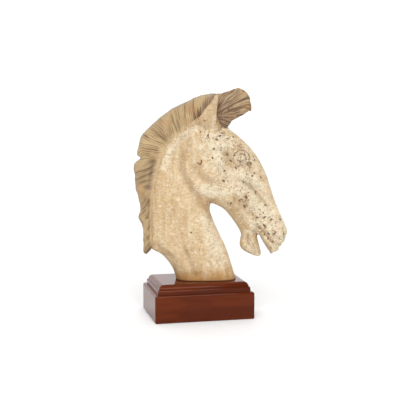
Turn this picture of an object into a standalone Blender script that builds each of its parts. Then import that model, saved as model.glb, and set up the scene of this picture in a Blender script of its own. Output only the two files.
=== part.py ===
"""A horse's head and neck carved in one piece, standing on a moulded plinth.

The head is drawn in side view on its own mid-plane: x runs forward to the nose and z up from
the top of the plinth, in drawing units of which the whole carving is DRAWN_HEIGHT tall. Places
across the carving are drawn for a carving DRAWN_WIDTH wide.
"""

import math
import random

import bmesh
import bpy
import numpy as np

# Driving dimensions, in metres and degrees
HEAD_HEIGHT = 0.3185
HEAD_WIDTH = 0.066
HEAD_TURN = -10.0
HEAD_SHIFT = -0.001

PLINTH_LENGTH = 0.167
PLINTH_DEPTH = 0.123
BLOCK_HEIGHT = 0.0452
STEP_HEIGHT = 0.008
CAP_HEIGHT = 0.0081
STEP_INSET = 0.0055
CAP_INSET = 0.0023
SHOULDER_RADIUS = 0.003
STEP_RADIUS = 0.0015
OVOLO_RADIUS = 0.0077
CORNER_RADIUS = 0.0024
CORNER_STEPS = 3
FOOT_RADIUS = 0.0018
RESTING_GAP = 0.0003

# Finish of the carved surface
GRAIN_SIZE = 0.002
RUBBING_PASSES = 9
BODY_TRIANGLES = 6000
SHARP_ANGLE = 35.0
RANDOM_SEED = 7

# Scale of the drawing
DRAWN_HEIGHT = 318.5
DRAWN_WIDTH = 66.0
UNIT = HEAD_HEIGHT / DRAWN_HEIGHT
ACROSS = HEAD_WIDTH / DRAWN_WIDTH

# Sections of the main masses, as: upper or front point x, z, lower or back point x, z,
# half width, lean of the widest place towards the first point, fullness
NECK = [
    (69, -10, -33, -10, 33, 0.0, 3.0),
    (61.5, 13, -38.5, 12, 33, 0.0, 3.0),
    (57, 28, -46.5, 27, 32.5, 0.0, 2.9),
    (52, 44, -60, 42, 31.5, 0.05, 2.8),
    (45.5, 60, -79, 54, 30.5, 0.12, 2.6),
    (35.5, 81, -82, 78, 29.5, 0.15, 2.5),
    (26.5, 102, -82, 106, 28.5, 0.15, 2.5),
    (21.5, 121, -81, 132, 27.5, 0.15, 2.5),
    (32, 150, -77, 160, 26.5, 0.12, 2.5),
    (44, 180, -70, 186, 26.5, 0.1, 2.5),
    (50, 210, -61, 212, 26.5, 0.1, 2.5),
    (48, 240, -44, 240, 25, 0.1, 2.4),
    (41, 266, -16, 262, 19, 0.1, 2.4),
    (31, 280, 8, 276, 14, 0.0, 2.3),
]
HEAD = [
    (34, 276, -24, 222, 19, 0.0, 2.4),
    (53.5, 252.5, -22, 188, 26, 0.0, 2.5),
    (66, 242.5, -12, 160, 29, -0.05, 2.6),
    (83.5, 226.7, 8, 136, 30, -0.08, 2.6),
    (96.5, 212, 27, 127, 29, -0.1, 2.6),
    (107.3, 195, 43.5, 118.5, 27, -0.13, 2.6),
    (116.3, 176, 54.5, 107, 24.5, -0.15, 2.6),
    (123.7, 155, 64, 94, 22.5, -0.15, 2.6),
    (130.5, 134, 71.5, 82.5, 20.5, -0.12, 2.6),
    (137, 117, 75.5, 72.5, 19, -0.1, 2.6),
]
UPPER_JAW = [
    (130.5, 134, 84, 92, 19.5, 0.0, 2.6),
    (139, 113, 97, 79.5, 19.5, 0.05, 2.6),
    (144.3, 101.5, 105.5, 72.5, 19.5, 0.05, 2.6),
    (150.3, 88, 112, 60.5, 19.5, 0.05, 2.6),
    (153, 78.5, 118, 51.5, 19, 0.05, 2.6),
    (150.3, 68, 121.8, 45, 17.5, 0.0, 2.6),
    (143.5, 57, 124.5, 40.5, 15.5, 0.0, 2.8),
    (133.5, 46.5, 126.5, 40.5, 11.5, 0.0, 2.8),
]
LOWER_JAW = [
    (100, 112, 70, 94, 17, 0.0, 2.5),
    (101.5, 92, 75, 77, 16, -0.1, 2.5),
    (101.3, 76, 73.5, 66.5, 15, -0.15, 2.5),
    (103.5, 64, 72.5, 56, 14, -0.2, 2.4),
    (105.8, 55, 76.5, 48.5, 13.5, -0.2, 2.4),
    (107.7, 47.5, 86.5, 42.5, 13, -0.15, 2.4),
    (109.2, 41, 97, 38, 11.5, 0.0, 2.4),
    (107, 37.5, 101.5, 37, 8, 0.0, 2.2),
]

# Round masses, as: centre x, y, z, then radii along x, y and z
JOWL = (17, 0, 174.5, 40, 32.5, 41.5)
BROW = (67, 15, 209, 21, 16, 15)
NOSTRIL_SWELL = (135, 9, 79, 14, 13, 18)

# The mane's root line on the neck and its cut crest, as: root x, z, crest x, z, share of the
# full width
MANE = [
    (40, 276, 46.8, 309.7, 0.62),
    (21, 270, 20.5, 309.8, 0.62),
    (2, 261, -0.4, 304.5, 0.7),
    (-14, 254, -17.6, 296.4, 0.92),
    (-28, 246, -39.6, 286.1, 1),
    (-41, 237, -57.5, 273.3, 1),
    (-50, 228, -76.2, 257.4, 1),
    (-56, 217, -92.3, 240.1, 1),
    (-60.5, 207, -97.4, 221.7, 1),
    (-62.5, 201, -99.3, 209.4, 1),
    (-64, 197, -94.3, 202.9, 1),
    (-66, 191, -104.5, 192.4, 1),
    (-69.5, 176, -103.3, 176, 1),
    (-72.5, 160, -103, 155.2, 1),
    (-75.5, 143, -97, 134.2, 1),
    (-77, 124, -95.1, 115.2, 1),
    (-77.5, 112, -97.4, 103.6, 1),
    (-77.5, 98, -92, 88.7, 1),
    (-77.5, 84, -89.6, 73.8, 1),
    (-77, 70, -90.7, 58.6, 1),
    (-76, 61, -89.5, 46.1, 0.9),
    (-75, 53, -86, 41, 0.55),
]
# Half section of the mane, as: share of the way from root to crest, half width, share of the
# grooves' depth
MANE_SECTION = [
    (-0.3, 9.0, 0.0),
    (0.0, 15.5, 0.5),
    (0.3, 16.5, 1.0),
    (0.62, 15.0, 1.0),
    (0.88, 11.5, 0.9),
    (1.0, 5.5, 0.6),
]
LOCK_COUNT = 46
LOCK_UNEVENNESS = 0.35
GROOVE_DEPTH = 2.3
CREST_RAGGEDNESS = 0.9

# Forelock, swept forward over the brow, as: top x, z, underside x, z, half width
FORELOCK = [
    (30, 304, 35, 256, 14),
    (42, 310.5, 43.5, 247, 18.5),
    (53, 314, 53, 257, 18),
    (61, 317, 58.5, 265, 15.5),
    (69, 319, 68, 270.3, 14.5),
    (79.5, 314.5, 77, 275, 13),
    (87, 305, 84, 280.3, 11),
    (90, 292, 90, 282.5, 7),
]
FORELOCK_FULLNESS = 2.8
FORELOCK_STRANDS = 9
STRAND_DEPTH = 1.5
STRAND_ROWS = 5

# Ear, from base to tip, as: front x, z, back x, z, distance of its middle from the mid-plane,
# half thickness
EAR = [
    (42, 249, -6, 243, 9, 10.5),
    (41, 262, -3, 259, 15, 10.5),
    (40, 272, 2, 269.5, 18.5, 10.0),
    (39, 283, 9, 280, 20.5, 9.0),
    (38, 292, 16, 289.5, 21.5, 7.6),
    (37, 301, 23.5, 298, 22, 5.8),
    (35.5, 310, 29, 308, 22, 3.2),
]
EAR_HOLLOW = 0.6

# Carved lines on the side of the head and neck, as: width, depth, then the points of the line.
# A negative depth raises a ridge. Each fades out over LINE_END_FADE of its length at both ends,
# and on faces that turn up, down or forward more than SIDEWAYS_FACE allows.
LINE_END_FADE = 1 / 6
SHALLOWEST_END = 0.25
SIDEWAYS_FACE = (0.15, 0.55)
CARVED_LINES = [
    (8.0, 5.2, [(-16, 224), (-23, 210), (-27, 191), (-21, 172), (-8, 152), (4, 136), (18, 127)]),
    (6.0, -2.6, [(-12, 205), (-16, 186), (-11, 169), (1, 153), (19, 144), (38, 143)]),
    (5.0, 2.8, [(-8, 196), (-7, 186), (-2, 177), (8, 168), (24, 163)]),
    (6.5, -2.0, [(28, 240), (22, 220), (33, 200), (50, 184), (72, 173), (90, 171)]),
    (5.0, 4.4, [(70, 168), (86, 158.5), (99, 146), (109, 133), (118, 122)]),
    (5.5, -2.8, [(86, 175.5), (101, 166.5), (113.5, 151.5), (123, 132)]),
    (6.0, -2.4, [(66, 160), (84, 147.5), (98, 131)]),
    (7.0, 2.4, [(52, 146), (68, 134), (84, 119), (93, 106)]),
    (8.0, 2.8, [(46, 216), (49, 203), (56, 191)]),
    (5.0, 1.4, [(84, 194), (89, 186), (92, 178)]),
    (6.0, -1.8, [(-54, 210), (-40, 233), (-14, 252)]),
    (5.0, 2.0, [(-44, 204), (-31, 231), (-11, 246)]),
    (7.0, 2.6, [(-32, 140), (-35, 119), (-36, 100), (-33.5, 76), (-33.5, 57)]),
    (6.0, -1.6, [(-48, 150), (-50, 110), (-50, 80)]),
    (5.5, 3.2, [(-23, 61), (-14.5, 39), (-8, 19), (-3, 0)]),
    (7.0, -2.2, [(0, 52), (4, 31), (10, 12)]),
    (9.0, -1.8, [(8, 110), (12, 84), (20, 58), (30, 30)]),
    (3.6, -1.5, [(-73, 69), (-62, 62), (-52, 55), (-33, 39)]),
    (4.5, 1.3, [(-68, 58), (-52, 47), (-36, 33)]),
    (8.0, 2.4, [(40, 240), (50, 232), (56, 224)]),
    (2.6, 1.5, [(92, 92), (103, 86.5), (109, 80), (116, 71.5), (127, 57)]),
    (2.8, -1.6, [(89, 88), (100, 83), (106, 76), (112.5, 68.3), (124.5, 53.7)]),
    (2.6, 2.2, [(127, 75), (129.5, 78), (132.5, 81.5)]),
    (2.0, 1.5, [(109, 93), (111, 90), (113.5, 87.5)]),
    (3.2, -1.3, [(91, 77), (94, 66), (99, 50), (104, 42)]),
    (3.0, 1.6, [(86, 76), (84, 66), (88, 55)]),
]
# Swelling at the mouth's corner, as: x, z, radius, height
MOUTH_CORNER = (94, 85, 6.0, 2.0)

# Eye: centre x, z, then rings as: distance from the centre, width, height; and the direction in
# degrees in which the rings are boldest, with their share of the height on the worn side
EYE_CENTRE = (72.5, 203)
EYE_RINGS = [
    (0.0, 5.0, 3.0),
    (8.0, 1.6, -2.0),
    (11.0, 1.5, 1.4),
    (14.3, 1.6, -1.7),
    (17.8, 2.0, 1.2),
]
BOLD_SIDE = 60.0
WORN_SHARE = 0.35

PALE_COLOUR = (0.72, 0.55, 0.36, 1.0)
MANE_COLOUR = (0.36, 0.22, 0.11, 1.0)
PLINTH_COLOUR = (0.13, 0.028, 0.013, 1.0)


def clear_scene():
    for item in list(bpy.data.objects):
        bpy.data.objects.remove(item)


def make_collection(name):
    collection = bpy.data.collections.new(name)
    bpy.context.scene.collection.children.link(collection)
    return collection


def make_material(name, colour, roughness):
    material = bpy.data.materials.new(name)
    material.use_nodes = True
    shader = material.node_tree.nodes["Principled BSDF"]
    shader.inputs["Base Color"].default_value = colour
    shader.inputs["Roughness"].default_value = roughness
    shader.inputs["Metallic"].default_value = 0.0
    material.diffuse_color = colour
    return material


def make_object(name, mesh, collection, material):
    item = bpy.data.objects.new(name, mesh)
    collection.objects.link(item)
    mesh.materials.clear()
    mesh.materials.append(material)
    return item


def make_cutter(name, mesh, collection, material):
    item = make_object(name, mesh, collection, material)
    item.hide_render = True
    item.display_type = "WIRE"
    return item


def evaluated_mesh(item):
    """The mesh of an object with its modifiers applied."""
    bpy.context.view_layer.update()
    graph = bpy.context.evaluated_depsgraph_get()
    return bpy.data.meshes.new_from_object(item.evaluated_get(graph))


def smooth_rows(rows, steps):
    """A Catmull-Rom curve through rows of numbers, with this many steps between two rows."""
    rows = np.array(rows, float)
    before = np.vstack([2 * rows[0] - rows[1], rows[:-2]])
    after = np.vstack([rows[2:], 2 * rows[-1] - rows[-2]])
    start, end = rows[:-1], rows[1:]
    made = []
    for step in range(steps):
        t = step / steps
        made.append(
            0.5
            * (
                2 * start
                + (end - before) * t
                + (2 * before - 5 * start + 4 * end - after) * t**2
                + (3 * start - before - 3 * end + after) * t**3
            )
        )
    body = np.stack(made, axis=1).reshape(-1, rows.shape[1])
    return np.vstack([body, rows[-1]])


def row_at(rows, place):
    """Rows of numbers read at a place between them, along straight lines."""
    index = np.arange(len(rows))
    return np.array([np.interp(place, index, column) for column in np.array(rows, float).T])


def signed_power(value, power):
    return math.copysign(abs(value) ** power, value)


def section_ring(first, second, half_width, lean, fullness, around):
    """A closed ring across the mid-plane, from one point of the side view to another."""
    middle = (np.array(first) + np.array(second)) / 2
    reach = (np.array(first) - np.array(second)) / 2
    ring = []
    for i in range(around):
        angle = 2 * math.pi * i / around
        along = signed_power(math.cos(angle), 2 / fullness)
        out = signed_power(math.sin(angle), 2 / fullness) * (1 + lean * along)
        x, z = middle + reach * along
        ring.append((x * UNIT, out * half_width * ACROSS, z * UNIT))
    return ring


def loft(name, rings):
    """A closed skin over rings that hold the same number of points."""
    shape = bmesh.new()
    rows = [[shape.verts.new(point) for point in ring] for ring in rings]
    count = len(rows[0])
    for near, far in zip(rows, rows[1:]):
        for i in range(count):
            j = (i + 1) % count
            shape.faces.new((near[i], near[j], far[j], far[i]))
    shape.faces.new(rows[0])
    shape.faces.new(rows[-1])
    bmesh.ops.recalc_face_normals(shape, faces=shape.faces)
    mesh = bpy.data.meshes.new(name)
    shape.to_mesh(mesh)
    shape.free()
    return mesh


def mass(name, rows, steps=4, around=32):
    rings = []
    for row in smooth_rows(rows, steps):
        rings.append(section_ring(row[0:2], row[2:4], row[4], row[5], row[6], around))
    return loft(name, rings)


def round_mass(name, centre_and_radii, side=1):
    """An ellipsoid, on the side of the mid-plane that side gives."""
    x, y, z, along, across, up = centre_and_radii
    shape = bmesh.new()
    bmesh.ops.create_uvsphere(shape, u_segments=32, v_segments=20, radius=1.0)
    for vert in shape.verts:
        vert.co.x = (x + along * vert.co.x) * UNIT
        vert.co.y = (side * y + across * vert.co.y) * ACROSS
        vert.co.z = (z + up * vert.co.z) * UNIT
    mesh = bpy.data.meshes.new(name)
    shape.to_mesh(mesh)
    shape.free()
    return mesh


def joined(name, meshes):
    """Several closed skins in one mesh."""
    shape = bmesh.new()
    for mesh in meshes:
        shape.from_mesh(mesh)
    whole = bpy.data.meshes.new(name)
    shape.to_mesh(whole)
    shape.free()
    return whole


def main_masses():
    meshes = [
        mass("neck", NECK),
        mass("head", HEAD),
        mass("upper_jaw", UPPER_JAW),
        mass("lower_jaw", LOWER_JAW),
        round_mass("jowl", JOWL),
    ]
    for side in (-1, 1):
        meshes.append(ear(side))
        meshes.append(round_mass("brow", BROW, side))
        meshes.append(round_mass("nostril_swell", NOSTRIL_SWELL, side))
    return joined("masses", meshes)


def roughed_out(collection, material):
    """The main masses fused into one skin and rubbed smooth."""
    rough = make_object("roughed_out", main_masses(), collection, material)
    fuse = rough.modifiers.new("Fuse", "REMESH")
    fuse.mode = "VOXEL"
    fuse.voxel_size = GRAIN_SIZE
    rub = rough.modifiers.new("Rub", "SMOOTH")
    rub.factor = 0.5
    rub.iterations = RUBBING_PASSES
    mesh = evaluated_mesh(rough)
    bpy.data.objects.remove(rough)
    return mesh


def distance_to_line(points, line):
    """Distance of each drawn point to a line, and how far along the line its foot lies, 0 to 1."""
    starts, ends = line[:-1], line[1:]
    lengths = np.linalg.norm(ends - starts, axis=1)
    travelled = np.concatenate([[0.0], np.cumsum(lengths)])
    best = np.full(len(points), np.inf)
    along = np.zeros(len(points))
    for i, (start, end) in enumerate(zip(starts, ends)):
        span = end - start
        share = np.clip((points - start) @ span / (span @ span), 0, 1)
        gap = np.linalg.norm(points - start - share[:, None] * span, axis=1)
        nearer = gap < best
        best[nearer] = gap[nearer]
        along[nearer] = (travelled[i] + share[nearer] * lengths[i]) / travelled[-1]
    return best, along


def carve_side(mesh):
    """Cuts the carved lines, the mouth's corner and the eye into both sides of the head."""
    count = len(mesh.vertices)
    places = np.empty(count * 3)
    normals = np.empty(count * 3)
    mesh.vertices.foreach_get("co", places)
    mesh.vertices.foreach_get("normal", normals)
    places = places.reshape(-1, 3)
    normals = normals.reshape(-1, 3)
    drawn = places[:, [0, 2]] / UNIT
    sideways = np.interp(np.abs(normals[:, 1]), SIDEWAYS_FACE, (0, 1))
    rise = np.zeros(count)
    for width, depth, line in CARVED_LINES:
        gap, along = distance_to_line(drawn, smooth_rows(line, 4))
        fade = np.clip(np.minimum(along, 1 - along) / LINE_END_FADE, SHALLOWEST_END, 1)
        rise -= depth * fade * np.exp(-((gap / width) ** 2))
    *corner, radius, height = MOUTH_CORNER
    gap = np.linalg.norm(drawn - np.array(corner), axis=1)
    rise += height * np.exp(-((gap / radius) ** 2))
    away = drawn - np.array(EYE_CENTRE)
    gap = np.linalg.norm(away, axis=1)
    turn = np.arctan2(away[:, 1], away[:, 0]) - math.radians(BOLD_SIDE)
    bold = WORN_SHARE + (1 - WORN_SHARE) * (0.5 + 0.5 * np.cos(turn))
    for radius, width, height in EYE_RINGS:
        ring = height * np.exp(-(((gap - radius) / width) ** 2))
        rise += ring * bold if radius else ring
    places += normals * (rise * sideways * ACROSS)[:, None]
    mesh.vertices.foreach_set("co", places.reshape(-1))
    mesh.update()


def mane():
    """A cropped mane cut into locks that run from its root to its crest."""
    dice = random.Random(RANDOM_SEED)
    last = len(MANE) - 1
    rings = []
    for i in range(2 * LOCK_COUNT + 1):
        place = i * last / (2 * LOCK_COUNT)
        if 0 < i < 2 * LOCK_COUNT:
            place += LOCK_UNEVENNESS * dice.uniform(-1, 1) * last / (2 * LOCK_COUNT)
        root_x, root_z, crest_x, crest_z, thickness = row_at(MANE, place)
        root = np.array((root_x, root_z))
        reach = np.array((crest_x, crest_z)) - root
        groove = GROOVE_DEPTH * dice.uniform(0.6, 1.0) if i % 2 else 0.0
        ragged = CREST_RAGGEDNESS * dice.uniform(-1.0, 0.6)
        half = []
        for share, width, part in MANE_SECTION:
            pulled = (ragged - 0.5 * groove) * part / np.linalg.norm(reach) * max(share, 0)
            x, z = root + reach * (share + pulled)
            half.append((x * UNIT, (width * thickness - groove * part) * ACROSS, z * UNIT))
        other = [(x, -y, z) for x, y, z in reversed(half)]
        rings.append(half + other)
    return loft("mane", rings)


def forelock():
    """A swept tuft with strands running along it."""
    rings = []
    around = 4 * FORELOCK_STRANDS
    for number, row in enumerate(smooth_rows(FORELOCK, 2)):
        ring = section_ring(row[0:2], row[2:4], row[4], 0.0, FORELOCK_FULLNESS, around)
        middle = np.mean(ring, axis=0)
        for i in range((number // STRAND_ROWS + 1) % 2, around, 2):
            out = (np.array(ring[i]) - middle) * (0.3, 1, 1)
            ring[i] = tuple(ring[i] - out / np.linalg.norm(out) * STRAND_DEPTH * UNIT)
        rings.append(ring)
    return loft("forelock", rings)


def ear(side, around=24):
    """A pointed ear, hollowed in front."""
    rings = []
    for front_x, front_z, back_x, back_z, middle_y, half_thickness in smooth_rows(EAR, 3):
        middle = np.array((front_x + back_x, front_z + back_z)) / 2
        reach = np.array((front_x - back_x, front_z - back_z)) / 2
        ring = []
        for i in range(around):
            angle = 2 * math.pi * i / around
            forward = math.cos(angle)
            dent = EAR_HOLLOW * max(0.0, forward) ** 4
            x, z = middle + reach * (forward - dent)
            y = side * (middle_y + half_thickness * math.sin(angle))
            ring.append((x * UNIT, y * ACROSS, z * UNIT))
        rings.append(ring)
    return loft("ear", rings)


def join_by_boolean(item, other, operation):
    step = item.modifiers.new(other.name, "BOOLEAN")
    step.operation = operation
    step.object = other
    step.solver = "EXACT"
    step.material_mode = "TRANSFER"


def below_foot():
    """A box whose top is the flat foot of the neck."""
    shape = bmesh.new()
    bmesh.ops.create_cube(shape, size=HEAD_HEIGHT)
    bmesh.ops.translate(shape, verts=shape.verts, vec=(0, 0, -HEAD_HEIGHT / 2))
    mesh = bpy.data.meshes.new("foot_cutter")
    shape.to_mesh(mesh)
    shape.free()
    return mesh


def make_head(parts, cutters, pale, brown):
    mesh = roughed_out(cutters, pale)
    carve_side(mesh)
    mesh.shade_smooth()
    head = make_object("horse_head", mesh, parts, pale)
    thin = head.modifiers.new("Facets", "DECIMATE")
    mesh.calc_loop_triangles()
    thin.ratio = BODY_TRIANGLES / len(mesh.loop_triangles)
    thin.use_symmetry = True
    thin.symmetry_axis = "Y"
    head.location = (HEAD_SHIFT, 0, plinth_height() + RESTING_GAP)
    head.rotation_euler = (0, 0, math.radians(HEAD_TURN))
    for name, hair in (("mane", mane()), ("forelock", forelock())):
        other = make_cutter(name, hair, cutters, brown)
        other.parent = head
        join_by_boolean(head, other, "UNION")
    foot = make_cutter("foot_cutter", below_foot(), cutters, pale)
    foot.parent = head
    join_by_boolean(head, foot, "DIFFERENCE")
    return head


def plinth_height():
    return BLOCK_HEIGHT + STEP_HEIGHT + CAP_HEIGHT


def rounded_rectangle(inset, height):
    """A ring round the plinth, this far in from its outline."""
    half_length = PLINTH_LENGTH / 2 - inset - CORNER_RADIUS
    half_depth = PLINTH_DEPTH / 2 - inset - CORNER_RADIUS
    ring = []
    for quarter, (sx, sy) in enumerate(((1, 1), (-1, 1), (-1, -1), (1, -1))):
        for step in range(CORNER_STEPS + 1):
            angle = math.pi / 2 * (quarter + step / CORNER_STEPS)
            x = sx * half_length + CORNER_RADIUS * math.cos(angle)
            y = sy * half_depth + CORNER_RADIUS * math.sin(angle)
            ring.append((x, y, height))
    return ring


def quarter_round(inset, top, radius, steps):
    """Inset and height along a convex quarter circle, from its foot to its crown."""
    arc = []
    for step in range(steps + 1):
        angle = math.pi / 2 * step / steps
        arc.append((inset + radius * (1 - math.cos(angle)), top - radius * (1 - math.sin(angle))))
    return arc


def moulding_profile():
    """Inset and height up the side of the plinth: block, step, then cap with an ovolo edge."""
    step_top = BLOCK_HEIGHT + STEP_HEIGHT
    cap_inset = STEP_INSET + CAP_INSET
    profile = [(FOOT_RADIUS, 0.0), (FOOT_RADIUS * 0.3, FOOT_RADIUS * 0.3), (0.0, FOOT_RADIUS)]
    profile += quarter_round(0.0, BLOCK_HEIGHT, SHOULDER_RADIUS, 4)
    profile += [(STEP_INSET, BLOCK_HEIGHT)]
    profile += quarter_round(STEP_INSET, step_top, STEP_RADIUS, 2)
    profile += [(cap_inset, step_top)]
    profile += quarter_round(cap_inset, plinth_height(), OVOLO_RADIUS, 6)
    return profile


def make_plinth(parts, material):
    rings = [rounded_rectangle(inset, height) for inset, height in moulding_profile()]
    mesh = loft("plinth", rings)
    mesh.shade_smooth()
    mesh.set_sharp_from_angle(angle=math.radians(SHARP_ANGLE))
    return make_object("plinth", mesh, parts, material)


def main():
    clear_scene()
    parts = make_collection("horse_head_sculpture")
    cutters = make_collection("shaping_pieces")
    pale = make_material("pale_carved_wood", PALE_COLOUR, 0.6)
    brown = make_material("brown_mane", MANE_COLOUR, 0.55)
    red = make_material("red_brown_plinth", PLINTH_COLOUR, 0.18)
    make_head(parts, cutters, pale, brown)
    make_plinth(parts, red)


main()
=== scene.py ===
"""The finished look of a carved horse's head on its plinth.

The head is drawn in side view on its own mid-plane: x runs forward to the nose and z up from
the top of the plinth, in drawing units of which the whole carving is DRAWN_HEIGHT tall. Places
across the carving are drawn for a carving DRAWN_WIDTH wide. At the real size one drawing unit
is one millimetre.
"""

import math

import bmesh
import bpy
import numpy as np
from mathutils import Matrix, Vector


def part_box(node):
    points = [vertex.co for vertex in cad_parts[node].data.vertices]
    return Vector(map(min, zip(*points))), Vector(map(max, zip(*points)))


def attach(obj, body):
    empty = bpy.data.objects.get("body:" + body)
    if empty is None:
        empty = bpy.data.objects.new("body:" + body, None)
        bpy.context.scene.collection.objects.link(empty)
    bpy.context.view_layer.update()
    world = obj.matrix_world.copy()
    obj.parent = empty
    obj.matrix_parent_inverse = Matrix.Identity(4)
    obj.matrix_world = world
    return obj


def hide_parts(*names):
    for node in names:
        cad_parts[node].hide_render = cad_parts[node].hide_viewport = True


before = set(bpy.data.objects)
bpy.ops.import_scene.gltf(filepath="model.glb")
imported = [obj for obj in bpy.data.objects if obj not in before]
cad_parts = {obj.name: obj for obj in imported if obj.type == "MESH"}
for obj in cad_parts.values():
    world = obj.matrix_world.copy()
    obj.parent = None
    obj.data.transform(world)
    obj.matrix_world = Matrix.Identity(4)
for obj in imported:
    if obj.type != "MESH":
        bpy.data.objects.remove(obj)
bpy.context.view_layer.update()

# Places of the carving in the frame, in metres and degrees
HEAD_TURN = -10.0
HEAD_SHIFT = -0.001
RESTING_GAP = 0.0003
DRAWN_HEIGHT = 318.5
DRAWN_WIDTH = 66.0
HEAD_WIDTH = 0.066
PLINTH_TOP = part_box("plinth")[1].z
HEAD_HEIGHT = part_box("horse_head")[1].z - PLINTH_TOP - RESTING_GAP
UNIT = HEAD_HEIGHT / DRAWN_HEIGHT
ACROSS = HEAD_WIDTH / DRAWN_WIDTH

# Camera, in millimetres, degrees and metres
LENS = 81.0
AZIMUTH = -12.9
ELEVATION = 6.22
DISTANCE = 1.5148
TARGET = Vector((0.00445, 0.0, 0.1940))

# Light: direction that the key light comes from, its strength and its width in degrees; and how
# bright the studio is in front of the work and behind it, as: the y of a direction in front and
# of one behind, then the level at either
KEY_FROM = Vector((-0.2, -1.0, 1.0))
KEY_STRENGTH = 2.7
KEY_WIDTH = 50.0
STUDIO_LEVELS = (-0.3, 0.9, 0.28, 1.4)
BACKDROP_RADIUS = 10.0

# Finish of the carved surface: fineness in metres, and how often it is rubbed smooth
GRAIN_SIZE = 0.0013
RUBBING_PASSES = 21
RUBBING_STRENGTH = 0.5

# Sections of the main masses, as: upper or front point x, z, lower or back point x, z,
# half width, lean of the widest place towards the first point, fullness
NECK = [
    (69, -10, -33, -10, 33, 0.0, 3.0),
    (61.5, 13, -38.5, 12, 33, 0.0, 3.0),
    (57, 28, -46.5, 27, 32.5, 0.0, 2.9),
    (52, 44, -60, 42, 31.5, 0.05, 2.8),
    (45.5, 60, -79, 54, 30.5, 0.12, 2.6),
    (35.5, 81, -82, 78, 29.5, 0.15, 2.5),
    (26.5, 102, -82, 106, 28.5, 0.15, 2.5),
    (21.5, 121, -81, 132, 27.5, 0.15, 2.5),
    (32, 150, -77, 160, 26.5, 0.12, 2.5),
    (44, 180, -70, 186, 26.5, 0.1, 2.5),
    (50, 210, -61, 212, 26.5, 0.1, 2.5),
    (48, 240, -44, 240, 25, 0.1, 2.4),
    (41, 266, -16, 262, 19, 0.1, 2.4),
    (31, 280, 8, 276, 14, 0.0, 2.3),
]
HEAD = [
    (34, 276, -24, 222, 19, 0.0, 2.4),
    (53.5, 252.5, -22, 188, 26, 0.0, 2.5),
    (66, 242.5, -12, 160, 29, -0.05, 2.6),
    (83.5, 226.7, 8, 136, 30, -0.08, 2.6),
    (96.5, 212, 27, 127, 29, -0.1, 2.6),
    (107.3, 195, 43.5, 118.5, 27, -0.13, 2.6),
    (116.3, 176, 54.5, 107, 24.5, -0.15, 2.6),
    (123.7, 155, 64, 94, 22.5, -0.15, 2.6),
    (130.5, 134, 71.5, 82.5, 20.5, -0.12, 2.6),
    (137, 117, 75.5, 72.5, 19, -0.1, 2.6),
]
UPPER_JAW = [
    (130.5, 134, 84, 92, 19.5, 0.0, 2.6),
    (139, 113, 97, 79.5, 19.5, 0.05, 2.6),
    (144.3, 101.5, 105.5, 72.5, 19.5, 0.05, 2.6),
    (150.3, 88, 112, 60.5, 19.5, 0.05, 2.6),
    (153, 78.5, 118, 51.5, 19, 0.05, 2.6),
    (150.3, 68, 121.8, 45, 17.5, 0.0, 2.6),
    (143.5, 57, 124.5, 40.5, 15.5, 0.0, 2.8),
    (133.5, 46.5, 126.5, 40.5, 11.5, 0.0, 2.8),
]
LOWER_JAW = [
    (100, 112, 70, 94, 17, 0.0, 2.5),
    (101.5, 92, 75, 77, 16, -0.1, 2.5),
    (101.3, 76, 73.5, 66.5, 15, -0.15, 2.5),
    (103.5, 64, 72.5, 56, 14, -0.2, 2.4),
    (105.8, 55, 76.5, 48.5, 13.5, -0.2, 2.4),
    (107.7, 47.5, 86.5, 42.5, 13, -0.15, 2.4),
    (109.2, 41, 97, 38, 11.5, 0.0, 2.4),
    (107, 37.5, 101.5, 37, 8, 0.0, 2.2),
]

# Round masses, as: centre x, y, z, then radii along x, y and z
JOWL = (17, 0, 174.5, 40, 32.5, 41.5)
BROW = (67, 15, 209, 21, 16, 15)
NOSTRIL_SWELL = (135, 9, 79, 14, 13, 18)

# Ear, from base to tip, as: front x, z, back x, z, distance of its middle from the mid-plane,
# half thickness
EAR = [
    (42, 249, -6, 243, 9, 10.5),
    (41, 262, -3, 259, 15, 10.5),
    (40, 272, 2, 269.5, 18.5, 10.0),
    (39, 283, 9, 280, 20.5, 9.0),
    (38, 292, 16, 289.5, 21.5, 7.6),
    (37, 301, 23.5, 298, 22, 5.8),
    (35.5, 310, 29, 308, 22, 3.2),
]
EAR_HOLLOW = 0.6

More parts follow.
